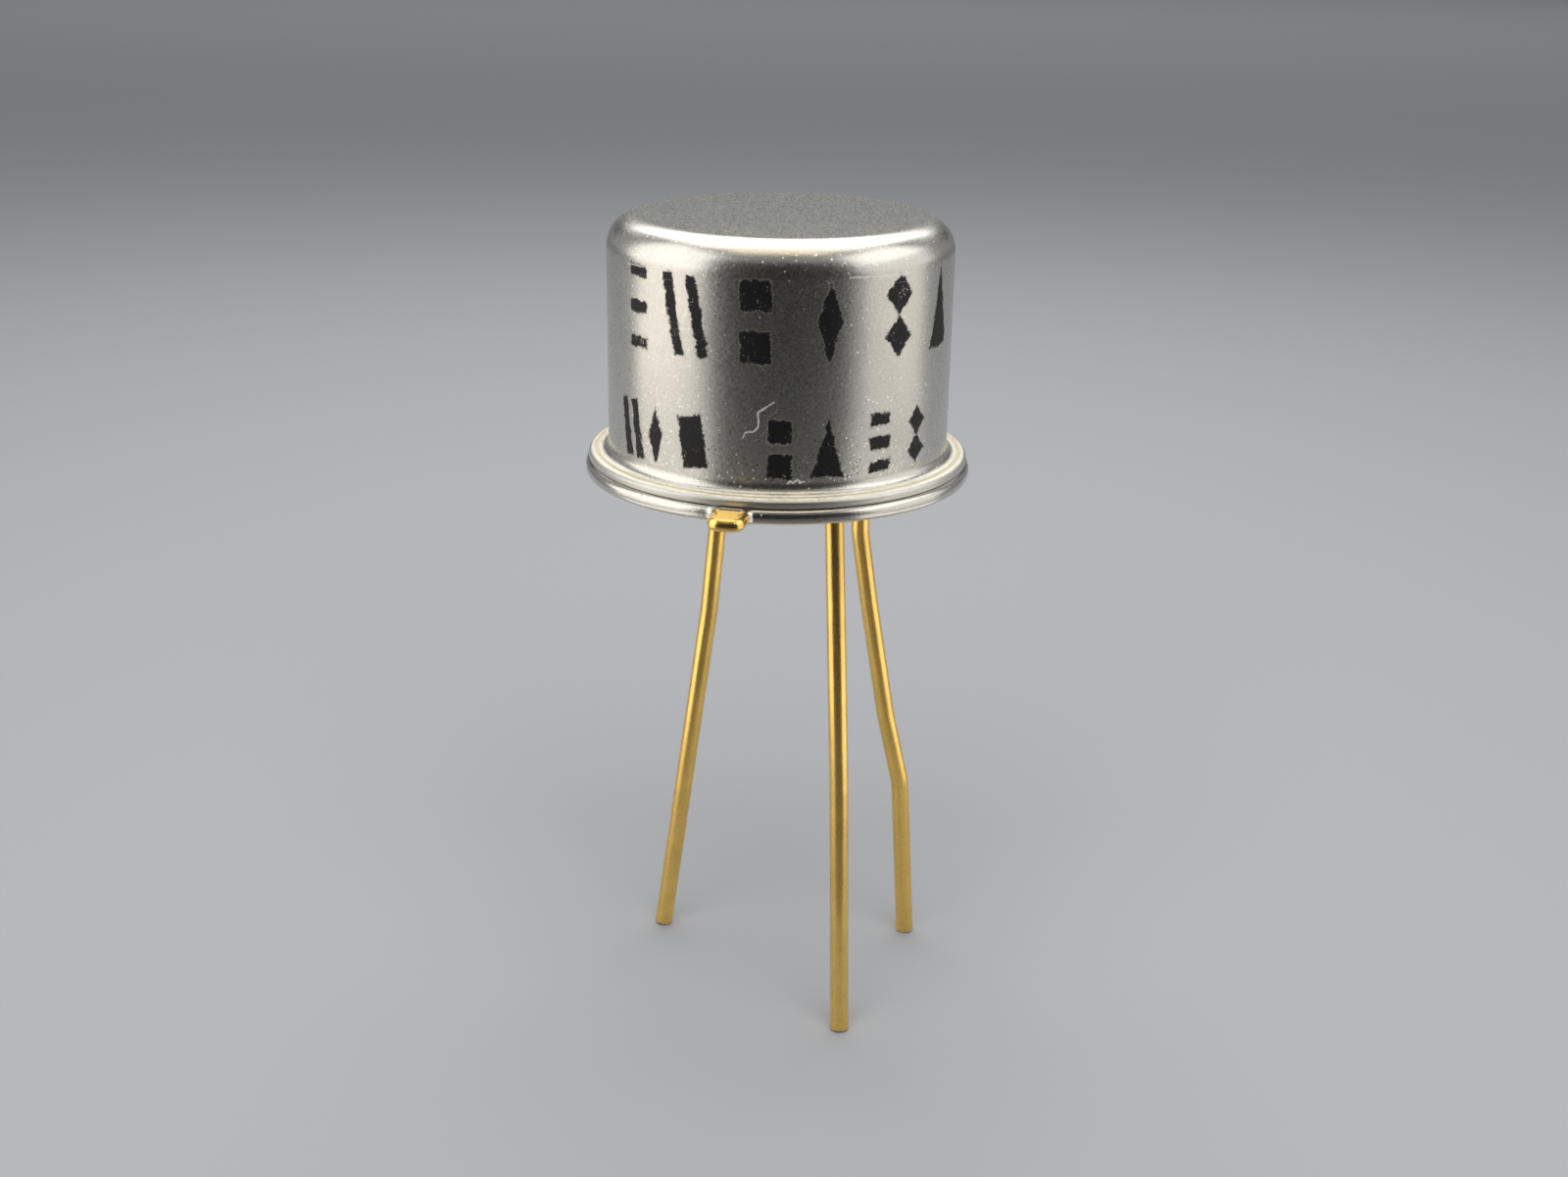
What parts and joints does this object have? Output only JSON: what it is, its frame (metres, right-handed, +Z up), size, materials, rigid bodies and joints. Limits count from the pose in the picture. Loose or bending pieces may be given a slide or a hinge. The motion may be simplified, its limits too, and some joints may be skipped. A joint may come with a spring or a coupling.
{
  "type": "transistor",
  "caption": "Power transistor in a round nickel metal can with a brimmed foot and an index tab, standing on its gold-plated wire leads.",
  "frame": {"origin": "on the can's axis, in the plane of the header's underside (the seating plane)", "axes": "+Z up along the can's axis from the leads to the closed top; -Y is the side with the index tab, which points 257.5 degrees round from +X towards +Y"},
  "size_m": [0.0094, 0.01, 0.0197],
  "materials": {
    "can_nickel": "satin nickel with a fine frosted grain",
    "header_metal": "bright nickel on the flange, gold plate on the index tab",
    "gold_plated_wire": "gold-plated drawn wire",
    "seal_glass": "dark opaque sealing glass",
    "bond_gold": "bare gold",
    "silicon": "polished silicon"
  },
  "bodies": {
    "root": {"cap": "can_nickel", "header": "header_metal", "glass_seal": "seal_glass", "emitter_lead": "gold_plated_wire", "base_lead": "gold_plated_wire", "collector_lead": "gold_plated_wire", "die_bond": "bond_gold", "chip": "silicon", "emitter_wire": "bond_gold", "base_wire": "bond_gold"}
  },
  "joints": []
}
